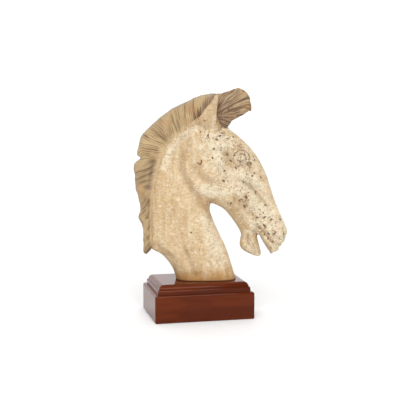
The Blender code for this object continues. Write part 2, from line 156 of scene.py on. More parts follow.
# Carved lines on the side of the head and neck, as: width, depth, then the points of the line.
# A negative depth raises a ridge. Each fades out over LINE_END_FADE of its length at both ends,
# and on faces that turn up, down or forward more than SIDEWAYS_FACE allows.
LINE_END_FADE = 1 / 6
SHALLOWEST_END = 0.25
SIDEWAYS_FACE = (0.15, 0.55)
CARVED_LINES = [
    (8.0, 5.2, [(-16, 224), (-23, 210), (-27, 191), (-21, 172), (-8, 152), (4, 136), (18, 127)]),
    (6.0, -2.6, [(-12, 205), (-16, 186), (-11, 169), (1, 153), (19, 144), (38, 143)]),
    (6.5, 2.8, [(-6, 197), (-5, 186), (0, 177), (9, 169), (24, 163)]),
    (6.5, -2.0, [(28, 240), (22, 220), (33, 200), (50, 184), (72, 173), (90, 171)]),
    (5.0, 3.6, [(70, 168), (86, 158.5), (99, 146), (109, 133), (118, 122)]),
    (5.5, -2.8, [(86, 175.5), (101, 166.5), (113.5, 151.5), (123, 132)]),
    (6.0, -2.4, [(66, 160), (84, 147.5), (98, 131)]),
    (7.0, 2.4, [(52, 146), (68, 134), (84, 119), (93, 106)]),
    (8.0, 2.8, [(46, 216), (49, 203), (56, 191)]),
    (5.0, 1.4, [(84, 194), (89, 186), (92, 178)]),
    (6.0, -1.8, [(-54, 210), (-40, 233), (-14, 252)]),
    (5.0, 2.0, [(-44, 204), (-31, 231), (-11, 246)]),
    (7.0, 2.4, [(-32, 140), (-35, 119), (-36, 100), (-33.5, 76), (-33.5, 57)]),
    (6.0, -1.6, [(-48, 150), (-50, 110), (-50, 80)]),
    (5.5, 2.6, [(-23, 61), (-14.5, 39), (-8, 19), (-3, 0)]),
    (7.0, -2.2, [(0, 52), (4, 31), (10, 12)]),
    (9.0, -1.8, [(8, 110), (12, 84), (20, 58), (30, 30)]),
    (3.6, -1.5, [(-73, 69), (-62, 62), (-52, 55), (-33, 39)]),
    (4.5, 1.3, [(-68, 58), (-52, 47), (-36, 33)]),
    (8.0, 2.4, [(40, 240), (50, 232), (56, 224)]),
    (2.6, 1.5, [(92, 92), (103, 86.5), (109, 80), (116, 71.5), (127, 57)]),
    (2.8, -1.6, [(89, 88), (100, 83), (106, 76), (112.5, 68.3), (124.5, 53.7)]),
    (2.6, 1.4, [(127, 75), (129.5, 78), (132.5, 81.5)]),
    (2.0, 1.5, [(109, 93), (111, 90), (113.5, 87.5)]),
    (3.2, -2.2, [(91, 77), (94, 66), (99, 50), (104, 42)]),
    (3.0, 2.4, [(86, 76), (84, 66), (88, 55)]),
]
MOUTH_CORNER = (94, 85, 6.0, 2.0)

# Eye: centre x, z, then rings as: distance from the centre, width, height; and the direction in
# degrees in which the rings are boldest, with their share of the height on the worn side
EYE_CENTRE = (72.5, 203)
EYE_RINGS = [
    (0.0, 5.0, 2.0),
    (8.0, 1.8, -2.0),
    (11.0, 1.8, 1.4),
    (14.3, 1.8, -1.8),
    (18.0, 2.2, 1.2),
]
BOLD_SIDE = 60.0
WORN_SHARE = 0.35

# The mane's root line on the neck and its cut crest, as: root x, z, crest x, z, share of the
# full width
MANE = [
    (40, 276, 46.8, 309.7, 0.62),
    (21, 270, 20.5, 309.8, 0.62),
    (2, 261, -0.4, 304.5, 0.7),
    (-14, 254, -17.6, 296.4, 0.92),
    (-28, 246, -39.6, 286.1, 1),
    (-41, 237, -57.5, 273.3, 1),
    (-50, 228, -76.2, 257.4, 1),
    (-56, 217, -92.3, 240.1, 1),
    (-60.5, 207, -97.4, 221.7, 1),
    (-62.5, 201, -99.3, 209.4, 1),
    (-64, 197, -94.3, 202.9, 1),
    (-66, 191, -104.5, 192.4, 1),
    (-69.5, 176, -103.3, 176, 1),
    (-72.5, 160, -103, 155.2, 1),
    (-75.5, 143, -97, 134.2, 1),
    (-77, 124, -95.1, 115.2, 1),
    (-77.5, 112, -97.4, 103.6, 1),
    (-77.5, 98, -92, 88.7, 1),
    (-77.5, 84, -89.6, 73.8, 1),
    (-77, 70, -90.7, 58.6, 1),
    (-76, 61, -89.5, 46.1, 0.9),
    (-75, 53, -86, 41, 0.55),
]
# How far a strand's tip lies below its root along the mane, by the root's height
STRAND_SWEEP_HEIGHTS = (50, 75, 130, 190, 205, 235, 255, 270)
STRAND_SWEEP = (4, 12, 14, 16, 9, 7, 2, -3)
# How deeply the mane is cut, by the share of the way from root to crest
CUT_SHARES = (-0.2, 0.05, 0.25, 0.6, 1.0)
CUT_STRENGTHS = (0.2, 1.0, 1.1, 0.75, 0.5)
# The crest's raggedness, and the root's heights between which it calms down towards the ears
CREST_RAGGEDNESS = 0.8
CALMER_HEIGHTS = (190, 210)
CALMER_SHARE = 0.4
# Half section of the mane, as: share of the way from root to crest, half width. MANE_REACH is
# about how far the crest lies from the root.
MANE_REACH = 40
MANE_SECTION = [
    (-0.3, 9.0),
    (0.0, 15.5),
    (0.3, 16.5),
    (0.62, 15.0),
    (0.88, 11.5),
    (1.0, 5.5),
]

# Forelock, swept forward over the brow, as: top x, z, underside x, z, half width
FORELOCK = [
    (30, 304, 35, 256, 14),
    (42, 310.5, 43.5, 247, 18.5),
    (53, 314, 53, 257, 18),
    (61, 317, 58.5, 265, 15.5),
    (69, 319, 68, 270.3, 14.5),
    (79.5, 314.5, 77, 275, 13),
    (87, 305, 84, 280.3, 11),
    (90, 292, 90, 282.5, 7),
]
FORELOCK_FULLNESS = 2.8
FORELOCK_AROUND = 300
# Where the forelock's strands fan out from, x and z, and how far out their width is measured
FAN_CENTRE = (22, 272)
FAN_RADIUS = 60
# Where the forelock begins to fray and is fully frayed, by x, and how far its strands part
FRAYED_END = (78, 90)
FRAYING = 1.5
# How far out from the fan's centre the forelock passes from its middle to its tip, and the
# shares of the way from root to crest in the mane that these places are painted as
TIP_REACH = (60, 90)
TIP_SHARES = (0.5, 0.92)

# Grid of the hair's skin, and its relief as: pitch, depth of the grooves
HAIR_PITCH = 0.5
MANE_LOCKS = (12.0, 1.1)
MANE_STRANDS = (2.6, 1.6)
FORELOCK_LOCKS = (11.0, 1.1)
FORELOCK_STRANDS = (2.6, 1.4)
HAIR_UNEVENNESS = 0.5
# Depth of cut that is painted as a full groove
FULL_GROOVE = 1.3

# Where the hair is darker, as: width, then the points of the line. The first two lines, along the
# ear's back edge, are painted shade of the gap between ear and mane.
DARK_MANE = [
    (7, [(2, 268), (10, 284), (22, 302), (32, 309)]),
    (3, [(-2, 262), (8, 278), (20, 296)]),
    (4, [(0, 258), (-12, 251)]),
    (3, [(-88, 44), (-76, 54)]),
    (8, [(-70, 192), (-74, 174), (-77, 158)]),
    (3, [(-78, 140), (-79, 118), (-79, 90)]),
]
DARK_FORELOCK = [
    (14, [(41, 258), (43, 280), (46, 298)]),
    (4, [(46, 298), (56, 306), (66, 314)]),
    (3, [(52, 262), (66, 272), (80, 279)]),
]

# Where the surface is pitted, stained or bleached, as: width, then the points of the line
PITTED = [
    (20, [(18, 240), (45, 232), (66, 214), (84, 196), (82, 172), (76, 150), (92, 122)]),
    (22, [(92, 122), (112, 98), (128, 82), (140, 64)]),
    (12, [(40, 196), (44, 176), (38, 160)]),
]
STAINED = [
    (9, [(48, 210), (52, 200), (58, 192)]),
    (7, [(60, 216), (68, 222)]),
    (6, [(80, 192), (88, 186)]),
    (7, [(80, 139), (76, 126)]),
    (6, [(62, 136), (68, 128)]),
    (5, [(90, 112), (97, 104)]),
    (4, [(105, 88), (118, 74), (128, 60)]),
    (5, [(84, 76), (90, 62), (98, 48)]),
    (4, [(94, 75), (99, 60), (105, 44)]),
    (9, [(58, 124), (72, 106), (78, 90)]),
    (7, [(2, 134), (14, 120), (22, 108)]),
    (5, [(36, 262), (44, 246)]),
    (3, [(99, 72), (102, 60), (106, 46)]),
    (6, [(-6, 14), (-4, 0)]),
]
BLEACHED = [
    (30, [(36, 222), (66, 190), (84, 150), (112, 104), (138, 74)]),
    (13, [(24, 236), (44, 228), (60, 226)]),
    (10, [(84, 176), (98, 164), (108, 150)]),
    (9, [(56, 176), (40, 188), (28, 206)]),
    (15, [(18, 104), (28, 70), (36, 36)]),
    (9, [(70, 110), (86, 97)]),
    (6, [(-54, 186), (-46, 214), (-24, 240), (-4, 252)]),
    (12, [(6, 156), (24, 150), (40, 150)]),
    (13, [(88, 74), (92, 60), (98, 48)]),
    (18, [(114, 96), (132, 74), (142, 62)]),
]
# Brown at the ear's root on the shown side
HAIRLINE = [
    (4.5, [(38, 268), (39, 252)]),
]
# Where shade and dirt lie in the carving's hollows
SHADED = [
    (6, [(-14, 232), (-22, 212), (-26, 192), (-21, 173), (-8, 152), (4, 137), (12, 130)]),
    (8, [(0, 192), (3, 183), (9, 175), (20, 168)]),
    (4, [(72, 167), (86, 158.5), (99, 146), (109, 133), (118, 122)]),
    (8, [(62, 136), (76, 128), (86, 116)]),
    (4, [(-23, 61), (-14.5, 39), (-8, 19), (-4, 0)]),
    (5, [(-44, 204), (-31, 231), (-11, 246)]),
    (7, [(-62, 60), (-48, 46), (-34, 30)]),
    (8, [(46, 214), (50, 203), (57, 192)]),
    (9, [(4, 134), (16, 118), (24, 104)]),
    (6, [(2, 268), (-6, 256)]),
    (0.9, [(-60, 124), (-56, 110), (-53.5, 91)]),
    (9, [(10, 258), (22, 280), (31, 302)]),
    (5, [(84, 72), (85, 62), (92, 50)]),
]
# Deep shade, as: width, then the points of the line
DEEP = [
    (2.4, [(101, 74), (105, 60), (109.5, 45)]),
    (0.9, [(93, 60), (98, 48)]),
    (0.9, [(98, 85), (105, 79), (111, 73)]),
    (2.0, [(66, 190), (70, 193), (74, 192)]),
    (2.5, [(82, 196), (86, 192)]),
]
# Single dark marks of the shown side, as: width, then the points of the line
MARKS = [
    (1.1, [(0, 197), (4, 194), (6.5, 197), (6, 201)]),
    (1.4, [(24, 206), (24.5, 204)]),
    (1.1, [(-12, 82), (-10, 81)]),
    (1.7, [(111, 92), (114, 89)]),
    (1.0, [(128.5, 76), (131, 80)]),
    (1.5, [(113.5, 126), (114.5, 124.5)]),
    (2.0, [(80, 140), (81, 138)]),
    (2.0, [(77.5, 125), (79, 122.5)]),
    (1.5, [(42, 168), (43.5, 166)]),
    (1.5, [(87, 197), (88.5, 194)]),
    (1.0, [(69, 200), (71, 198)]),
    (1.4, [(48, 211), (50, 209)]),
    (1.3, [(53, 201), (56, 199)]),
    (1.2, [(62, 190), (64, 187)]),
    (1.2, [(144.5, 78), (145.5, 75)]),
    (1.2, [(30, 236), (33, 234)]),
    (1.2, [(40, 246), (42, 245)]),
]
# What is painted on both sides of the head, and on the shown side alone
BOTH_SIDES = {
    "pitted": PITTED,
    "stained": STAINED,
    "shaded": SHADED,
    "bleached": BLEACHED,
    "deep": DEEP,
}
SHOWN_SIDE = {"hairline": HAIRLINE, "mark": MARKS}
# The chipped edge of the upper lip, and how wide, deep and long its chips are
BROKEN_LIP = [(124, 43), (130, 45), (138, 54), (144, 63), (149, 73)]
BROKEN_WIDTH = 5
BROKEN_DEPTH = 2.2
BROKEN_SPAN = 3.5
# Pits, scattered mostly over the pitted places, and the waviness of the whole skin
PIT_COUNT = 520
PIT_RADII = (0.7, 1.7)
PIT_DEPTH = 0.6
PIT_REACH = 9
FEWEST_PITS = 0.01
UNEVENNESS = 0.35
UNEVEN_SPAN = 9
# Half width of the dark line where the mane meets the neck, and of the painted shade in the eye's
# grooves
ROOT_WIDTH = 4.5
EYE_LINE_WIDTH = 1.0


def smooth_rows(rows, steps):
    """A Catmull-Rom curve through rows of numbers, with this many steps between two rows."""
    rows = np.array(rows, float)
    before = np.vstack([2 * rows[0] - rows[1], rows[:-2]])
    after = np.vstack([rows[2:], 2 * rows[-1] - rows[-2]])
    start, end = rows[:-1], rows[1:]
    made = []
    for step in range(steps):
        t = step / steps
        made.append(
            0.5
            * (
                2 * start
                + (end - before) * t
                + (2 * before - 5 * start + 4 * end - after) * t**2
                + (3 * start - before - 3 * end + after) * t**3
            )
        )
    body = np.stack(made, axis=1).reshape(-1, rows.shape[1])
    return np.vstack([body, rows[-1]])


def even_rows(rows, pitch, measure):
    """Rows read at even steps of the distance that measure gives between them."""
    rows = smooth_rows(rows, 8)
    gaps = np.linalg.norm(np.diff(measure(rows), axis=0), axis=1)
    travelled = np.concatenate([[0.0], np.cumsum(gaps)])
    places = np.linspace(0, travelled[-1], max(2, int(travelled[-1] / pitch)))
    return np.array([np.interp(places, travelled, column) for column in rows.T]).T, places


def signed_power(value, power):
    """A power that keeps its value's sign."""
    return np.copysign(np.abs(value) ** power, value)


def new_mesh(name, points, faces):
    mesh = bpy.data.meshes.new(name)
    mesh.from_pydata(points.tolist(), [], faces)
    mesh.update()
    return mesh


def grid_mesh(name, points):
    """A closed skin over rings of points, given as an array of rings by points by x, y, z."""
    rings, around = points.shape[:2]
    index = np.arange(rings * around).reshape(rings, around)
    turned = np.roll(index, -1, axis=1)
    faces = np.stack([index[:-1], turned[:-1], turned[1:], index[1:]], axis=-1)
    faces = faces.reshape(-1, 4).tolist()
    faces.append(index[0][::-1].tolist())
    faces.append(index[-1].tolist())
    mesh = new_mesh(name, points.reshape(-1, 3), faces)
    shape = bmesh.new()
    shape.from_mesh(mesh)
    bmesh.ops.recalc_face_normals(shape, faces=shape.faces)
    shape.to_mesh(mesh)
    shape.free()
    return mesh


def section_rings(rows, around):
    """Rings across the mid-plane, one for each row of a mass."""
    angle = 2 * math.pi * np.arange(around) / around
    rings = []
    for first_x, first_z, second_x, second_z, half_width, lean, fullness in rows:
        along = signed_power(np.cos(angle), 2 / fullness)
        out = signed_power(np.sin(angle), 2 / fullness) * (1 + lean * along)
        x = (first_x + second_x) / 2 + (first_x - second_x) / 2 * along
        z = (first_z + second_z) / 2 + (first_z - second_z) / 2 * along
        rings.append(np.stack([x * UNIT, out * half_width * ACROSS, z * UNIT], axis=-1))
    return np.array(rings)


def mass(name, rows):
    return grid_mesh(name, section_rings(smooth_rows(rows, 6), 64))


def round_mass(name, centre_and_radii, side=1):
    """An ellipsoid, on the side of the mid-plane that side gives."""
    x, y, z, along, across, up = centre_and_radii
    shape = bmesh.new()
    bmesh.ops.create_uvsphere(shape, u_segments=64, v_segments=40, radius=1.0)
    for vert in shape.verts:
        vert.co.x = (x + along * vert.co.x) * UNIT
        vert.co.y = (side * y + across * vert.co.y) * ACROSS
        vert.co.z = (z + up * vert.co.z) * UNIT
    mesh = bpy.data.meshes.new(name)
    shape.to_mesh(mesh)
    shape.free()
    return mesh


def ear(side, around=48):
    """A pointed ear, hollowed in front."""
    angle = 2 * math.pi * np.arange(around) / around
    forward = np.cos(angle)
    reach = forward - EAR_HOLLOW * np.maximum(0.0, forward) ** 4
    rings = []
    for front_x, front_z, back_x, back_z, middle_y, half_thickness in smooth_rows(EAR, 6):
        x = (front_x + back_x) / 2 + (front_x - back_x) / 2 * reach
        z = (front_z + back_z) / 2 + (front_z - back_z) / 2 * reach
        y = side * (middle_y + half_thickness * np.sin(angle))
        rings.append(np.stack([x * UNIT, y * ACROSS, z * UNIT], axis=-1))
    return grid_mesh("ear", np.array(rings))


def joined(name, meshes):
    """Several closed skins in one mesh."""
    shape = bmesh.new()
    for mesh in meshes:
        shape.from_mesh(mesh)
    whole = bpy.data.meshes.new(name)
    shape.to_mesh(whole)
    shape.free()
    return whole


def evaluated_mesh(item):
    """The mesh of an object with its modifiers applied."""
    bpy.context.view_layer.update()
    graph = bpy.context.evaluated_depsgraph_get()
    return bpy.data.meshes.new_from_object(item.evaluated_get(graph))


def body_mesh():
    """Neck, head, jaws and ears fused into one skin and rubbed smooth."""
    meshes = [
        mass("neck", NECK),
        mass("head", HEAD),
        mass("upper_jaw", UPPER_JAW),
        mass("lower_jaw", LOWER_JAW),
        round_mass("jowl", JOWL),
    ]
    for side in (-1, 1):
        meshes.append(ear(side))
        meshes.append(round_mass("brow", BROW, side))
        meshes.append(round_mass("nostril_swell", NOSTRIL_SWELL, side))
    rough = bpy.data.objects.new("roughed_out", joined("masses", meshes))
    bpy.context.scene.collection.objects.link(rough)
    fuse = rough.modifiers.new("Fuse", "REMESH")
    fuse.mode = "VOXEL"
    fuse.voxel_size = GRAIN_SIZE
    rub = rough.modifiers.new("Rub", "SMOOTH")
    rub.factor = RUBBING_STRENGTH
    rub.iterations = RUBBING_PASSES
    mesh = evaluated_mesh(rough)
    bpy.data.objects.remove(rough)
    return mesh


def cut_foot(mesh):
    """Cuts the skin off flat at the foot of the neck."""
    shape = bmesh.new()
    shape.from_mesh(mesh)
    parts = shape.verts[:] + shape.edges[:] + shape.faces[:]
    bmesh.ops.bisect_plane(
        shape, geom=parts, plane_co=(0, 0, 0), plane_no=(0, 0, 1), clear_inner=True
    )
    edges = [edge for edge in shape.edges if edge.is_boundary]
    bmesh.ops.contextual_create(shape, geom=edges)
    shape.to_mesh(mesh)
    shape.free()


def read_points(mesh, kind="co"):
    values = np.empty(len(mesh.vertices) * 3, np.float32)
    mesh.vertices.foreach_get(kind, values)
    return values.reshape(-1, 3).astype(float)


def write_points(mesh, points):
    mesh.vertices.foreach_set("co", points.astype(np.float32).reshape(-1))
    mesh.update()


def distance_to_line(points, line):
    """Distance of each drawn point to a line, and how far along the line its foot lies, 0 to 1."""
    line = np.array(line, float)
    starts, ends = line[:-1], line[1:]
    lengths = np.linalg.norm(ends - starts, axis=1)
    travelled = np.concatenate([[0.0], np.cumsum(lengths)])
    best = np.full(len(points), np.inf)
    along = np.zeros(len(points))
    for i, (start, end) in enumerate(zip(starts, ends)):
        span = end - start
        share = np.clip((points - start) @ span / (span @ span), 0, 1)
        gap = np.linalg.norm(points - start - share[:, None] * span, axis=1)
        nearer = gap < best
        best[nearer] = gap[nearer]
        along[nearer] = (travelled[i] + share[nearer] * lengths[i]) / travelled[-1]
    return best, along


def bell(gap, width):
    """1 on a line and near 0 two widths away from it."""
    return np.exp(-((gap / width) ** 2))


def round_eye(drawn):
    """Distance of drawn points from the eye's centre, and their turn from its bold side."""
    away = drawn - np.array(EYE_CENTRE)
    turn = np.arctan2(away[:, 1], away[:, 0]) - math.radians(BOLD_SIDE)
    return np.linalg.norm(away, axis=1), turn


def carve_side(mesh):
    """Cuts the carved lines, the mouth's corner and the eye into both sides of the head."""
    places = read_points(mesh)
    normals = read_points(mesh, "normal")
    drawn = places[:, [0, 2]] / UNIT
    sideways = np.interp(np.abs(normals[:, 1]), SIDEWAYS_FACE, (0, 1))
    rise = np.zeros(len(places))
    for width, depth, line in CARVED_LINES:
        gap, along = distance_to_line(drawn, smooth_rows(line, 4))
        fade = np.clip(np.minimum(along, 1 - along) / LINE_END_FADE, SHALLOWEST_END, 1)
        rise -= depth * fade * bell(gap, width)
    *corner, radius, height = MOUTH_CORNER
    rise += height * bell(np.linalg.norm(drawn - np.array(corner), axis=1), radius)
    gap, turn = round_eye(drawn)
    bold = WORN_SHARE + (1 - WORN_SHARE) * (0.5 + 0.5 * np.cos(turn))
    for radius, width, height in EYE_RINGS:
        rise += height * bell(gap - radius, width) * (bold if radius else 1)
    x, z = drawn.T / UNEVEN_SPAN
    rise += UNEVENNESS * value_noise(x, z + np.sign(places[:, 1]) * 20, 31)
    x, z = drawn.T / BROKEN_SPAN
    broken = near(drawn, BROKEN_LIP, BROKEN_WIDTH) * value_noise(x, z, 32)
    rise = rise * sideways + BROKEN_DEPTH * broken
    write_points(mesh, places + normals * (rise * ACROSS)[:, None])


def near(drawn, line, width):
    """How near drawn points are to a line, 0 to 1."""
    return bell(distance_to_line(drawn, line)[0], width)


def eye_grooves(drawn):
    """How near drawn points are to the bold parts of the grooves round the eye, 0 to 1."""
    gap, turn = round_eye(drawn)
    broken = np.clip(0.55 + 0.3 * np.cos(turn) + 0.35 * value_noise(turn * 3 + 20, gap / 3, 33), 0, 1)
    grooves = [bell(gap - row[0], EYE_LINE_WIDTH) for row in EYE_RINGS if row[2] < 0]
    return broken * np.max(grooves, axis=0)


def zone(drawn, lines):
    """How far drawn points are inside any of several zones, 0 to 1."""
    return np.max([near(drawn, line, width) for width, line in lines], axis=0)


def pit_shapes(mesh, chances, seed):
    """Centres, directions and sizes of ragged pits, scattered over a mesh by these chances."""
    dice = np.random.default_rng(seed)
    places = read_points(mesh)
    chosen = dice.choice(len(places), PIT_COUNT, replace=False, p=chances / chances.sum())
    shapes = []
    for centre in places[chosen]:
        along = dice.normal(size=3)
        radius = PIT_RADII[0] + (PIT_RADII[1] - PIT_RADII[0]) * dice.uniform() ** 3
        spread = (dice.uniform(1.0, 2.6), radius, dice.uniform(0.3, 1.0), dice.uniform(0, 60))
        shapes.append((centre, along / np.linalg.norm(along), *spread))
    return shapes


def in_pits(mesh, shapes):
    """How deep each point of a mesh lies in these pits, 0 to 1."""
    places = read_points(mesh)
    depth = np.zeros(len(places))
    for centre, along, stretch, radius, strength, raggedness in shapes:
        away = (places - centre) / UNIT
        close = np.nonzero(np.abs(away).max(axis=1) < PIT_REACH)[0]
        away = away[close]
        reach = away @ along
        gap = np.sqrt(np.maximum((away**2).sum(axis=1) - reach**2 * (1 - 1 / stretch**2), 0))
        gap *= 1 + 0.45 * value_noise(away[:, 0] / 1.8 + raggedness, away[:, 2] / 1.8, 42)
        depth[close] = np.maximum(depth[close], strength * np.clip(1.5 - gap / radius, 0, 1))
    return depth


def value_noise(u, v, seed):
    """Smooth random heights from -1 to 1 over a plane, with cells one unit wide."""
    size = 64
    table = np.random.default_rng(seed).uniform(-1, 1, (size, size))
    low_u, low_v = np.floor(u).astype(int), np.floor(v).astype(int)
    su, sv = u - low_u, v - low_v
    su, sv = su * su * (3 - 2 * su), sv * sv * (3 - 2 * sv)
    this_u, next_u = low_u % size, (low_u + 1) % size
    this_v, next_v = low_v % size, (low_v + 1) % size
    below = table[this_u, this_v] * (1 - su) + table[next_u, this_v] * su
    above = table[this_u, next_v] * (1 - su) + table[next_u, next_v] * su
    return below * (1 - sv) + above * sv


def ribs(across, pitch, seed, unevenness, fullness):
    """Rounded ribs of uneven width with grooves between: height 0 to 1, and a depth for each."""
    dice = np.random.default_rng(seed)
    low = across.min() - pitch
    count = int((across.max() - low) / pitch / (1 - unevenness)) + 3
    widths = pitch * (1 + unevenness * dice.uniform(-1, 1, count))
    edges = low + np.concatenate([[0.0], np.cumsum(widths)])
    number = np.clip(np.searchsorted(edges, across) - 1, 0, count - 1)
    share = np.clip((across - edges[number]) / widths[number], 0, 1)
    depth = dice.uniform(0.35, 1.0, count + 1)
    nearest = np.where(share < 0.5, depth[number], depth[number + 1])
    return np.sin(math.pi * share) ** fullness, nearest


def paint(mesh, name, values):
    """Stores one number for each point of a mesh, for its material to read."""
    layer = mesh.attributes.new(name, "FLOAT", "POINT")
    layer.data.foreach_set("value", np.asarray(values, np.float32))


def hollows(mesh, passes=10):
    """How far each point lies below the average of its surroundings, in drawing units."""
    places = read_points(mesh)
    normals = read_points(mesh, "normal")
    ends = np.empty(len(mesh.edges) * 2, np.int32)
    mesh.edges.foreach_get("vertices", ends)
    ends = ends.reshape(-1, 2)
    count = np.maximum(np.bincount(ends.reshape(-1), minlength=len(places)), 1)[:, None]
    smooth = places.copy()
    for _ in range(passes):
        total = np.zeros_like(smooth)
        for column in range(3):
            total[:, column] += np.bincount(ends[:, 0], smooth[ends[:, 1], column], len(places))
            total[:, column] += np.bincount(ends[:, 1], smooth[ends[:, 0], column], len(places))
        smooth = total / count
    return np.einsum("ij,ij->i", smooth - places, normals) / UNIT


def make_piece(name, mesh, material, slot, *nodes):
    """Puts a finished mesh on the scene as a piece that stands for these solids."""
    piece = bpy.data.objects.new(name, mesh)
    bpy.context.scene.collection.objects.link(piece)
    mesh.materials.append(material)
    mesh.shade_smooth()
    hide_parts(*nodes)
    return piece


def place_on_plinth(piece):
    """Sets a piece of the head on the plinth, turned as the solid is."""
    piece.location = (HEAD_SHIFT, 0, PLINTH_TOP + RESTING_GAP)
    piece.rotation_euler = (0, 0, math.radians(HEAD_TURN))
    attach(piece, "root")


def make_body(material):
    """The carved neck and head with its pits, and where its material finds dirt, wear and painted
    shade.
    """
    mesh = body_mesh()
    carve_side(mesh)
    places = read_points(mesh)
    chances = zone(places[:, [0, 2]] / UNIT, PITTED) ** 1.5 + FEWEST_PITS
    shapes = pit_shapes(mesh, chances, 41)
    sunk = PIT_DEPTH * UNIT * in_pits(mesh, shapes)
    write_points(mesh, places - read_points(mesh, "normal") * sunk[:, None])
    cut_foot(mesh)
    drawn = read_points(mesh)[:, [0, 2]] / UNIT
    shown = read_points(mesh)[:, 1] < 0
    for name, lines in BOTH_SIDES.items():
        paint(mesh, name, zone(drawn, lines))
    for name, lines in SHOWN_SIDE.items():
        paint(mesh, name, zone(drawn, lines) * shown)
    paint(mesh, "eye", eye_grooves(drawn))
    paint(mesh, "root", near(drawn, [row[0:2] for row in MANE[2:]], ROOT_WIDTH))
    paint(mesh, "pit", in_pits(mesh, shapes))
    paint(mesh, "hollow", hollows(mesh))
    place_on_plinth(make_piece("carved_head", mesh, material, "carved_wood", "horse_head"))


def push_out(points, heights):
    """Moves a grid of points along its own normals."""
    step_u = np.gradient(points, axis=0)
    step_v = (np.roll(points, -1, axis=1) - np.roll(points, 1, axis=1)) / 2
    normals = np.cross(step_v, step_u)
    normals /= np.maximum(np.linalg.norm(normals, axis=-1, keepdims=True), 1e-12)
    middle = points.mean(axis=1, keepdims=True)
    facing = np.sum(normals * (points - middle), axis=-1).mean()
    return points + normals * np.sign(facing) * heights[..., None] * UNIT


def groove_depth(across, relief, seed, fullness=0.6):
    """How deep hair that lies at across is cut between its ribs, of this pitch and depth."""
    pitch, depth = relief
    rib, own_depth = ribs(across, pitch, seed, HAIR_UNEVENNESS, fullness)
    return depth * (1 - rib) * own_depth


def make_hair(name, points, heights, painted, material):
    """A piece of hair: a grid of points raised by these heights, and what its material reads."""
    mesh = grid_mesh(name, push_out(points, heights))
    for layer, values in painted.items():
        paint(mesh, layer, values.reshape(-1))
    place_on_plinth(make_piece(name, mesh, material, "carved_wood", "horse_head"))


def mane_rows():
    """Even rows along the mane and how far along they lie, with one section's shares and widths."""
    rows, along = even_rows(MANE, HAIR_PITCH, lambda r: (r[:, 0:2] + r[:, 2:4]) / 2)
    half, _ = even_rows(MANE_SECTION, 2 * HAIR_PITCH / MANE_REACH, lambda r: r * (1, 1 / MANE_REACH))
    share = np.concatenate([half[:, 0], half[::-1, 0]])
    width = np.concatenate([half[:, 1], -half[::-1, 1]])
    return rows, along, share, width


def make_mane(material):
    """A cropped mane carved into locks and strands that run from its root to its crest."""
    rows, along, share, width = mane_rows()
    root, crest, root_height = rows[:, None, 0:2], rows[:, None, 2:4], rows[:, 1]
    drawn = root + (crest - root) * share[None, :, None]
    out = width[None, :] * rows[:, None, 4] * ACROSS
    points = np.stack([drawn[..., 0] * UNIT, out, drawn[..., 1] * UNIT], axis=-1)
    u = np.repeat(along[:, None], len(share), axis=1)
    v = np.repeat(share[None, :], len(along), axis=0)
    side = np.sign(width)[None, :] * 40
    bend = 4.0 * value_noise(u / 26, v * 1.5 + side, 11)
    bend += 1.3 * value_noise(u / 9, v * 4 + side, 12)
    bend -= v * np.interp(root_height, STRAND_SWEEP_HEIGHTS, STRAND_SWEEP)[:, None]
    kink = 0.4 * value_noise(u / 4, v * 6 + side, 14)
    broken = np.clip(0.6 + 0.8 * value_noise(u / 7, v * 3 + side, 16), 0.1, 1)
    cut = groove_depth(u + bend, MANE_LOCKS, 13) * broken
    cut += groove_depth(u + bend + kink, MANE_STRANDS, 15, 0.75) * np.sqrt(broken)
    cut *= np.interp(v, CUT_SHARES, CUT_STRENGTHS)
    jagged = value_noise(u / 6, v * 0, 17) + 0.5 * value_noise(u / 2, v * 0, 18)
    jagged *= np.interp(v, (0.8, 1.0), (0, CREST_RAGGEDNESS))
    jagged *= np.interp(root_height, CALMER_HEIGHTS, (1, CALMER_SHARE))[:, None]
    painted = {
        "groove": cut / FULL_GROOVE,
        "strand_across": u + bend,
        "strand_along": v * 30,
        "tip": v,
        "dark": zone(drawn.reshape(-1, 2), DARK_MANE),
    }
    make_hair("mane", points, 0.2 - cut + jagged, painted, material)


def make_forelock(material):
    """A forelock swept forward, with strands that fan out from between the ears."""
    rows, _ = even_rows(FORELOCK, HAIR_PITCH, lambda r: (r[:, 0:2] + r[:, 2:4]) / 2)
    lean, fullness = np.zeros(len(rows)), np.full(len(rows), FORELOCK_FULLNESS)
    points = section_rings(np.column_stack([rows, lean, fullness]), FORELOCK_AROUND)
    drawn = points[..., [0, 2]] / UNIT
    away_x, away_z = drawn[..., 0] - FAN_CENTRE[0], drawn[..., 1] - FAN_CENTRE[1]
    across, along = np.arctan2(away_z, away_x) * FAN_RADIUS, np.hypot(away_x, away_z)
    side = points[..., 1] / UNIT / 9
    bend = 5.0 * value_noise(along / 34, across / 30 + side, 21)
    bend += 1.2 * value_noise(along / 18, across / 12 + side, 22)
    bend += 1.6 * value_noise(side * 1.4, across / 9, 28)
    broken = np.clip(0.5 + 0.9 * value_noise(across / 3 + side, along / 11, 27), 0.1, 1)
    cut = groove_depth(across + bend, FORELOCK_LOCKS, 23) * np.sqrt(broken)
    cut += groove_depth(across + bend, FORELOCK_STRANDS, 24, 0.8) * broken
    frayed = value_noise(across / 6 + side, along / 20, 26)
    frayed *= np.interp(drawn[..., 0], FRAYED_END, (0, FRAYING))
    painted = {
        "groove": cut / FULL_GROOVE,
        "strand_across": across + bend,
        "strand_along": along,
        "tip": np.interp(along, TIP_REACH, TIP_SHARES),
        "dark": zone(drawn.reshape(-1, 2), DARK_FORELOCK),
    }
    make_hair("forelock", points, 0.5 - cut + frayed, painted, material)


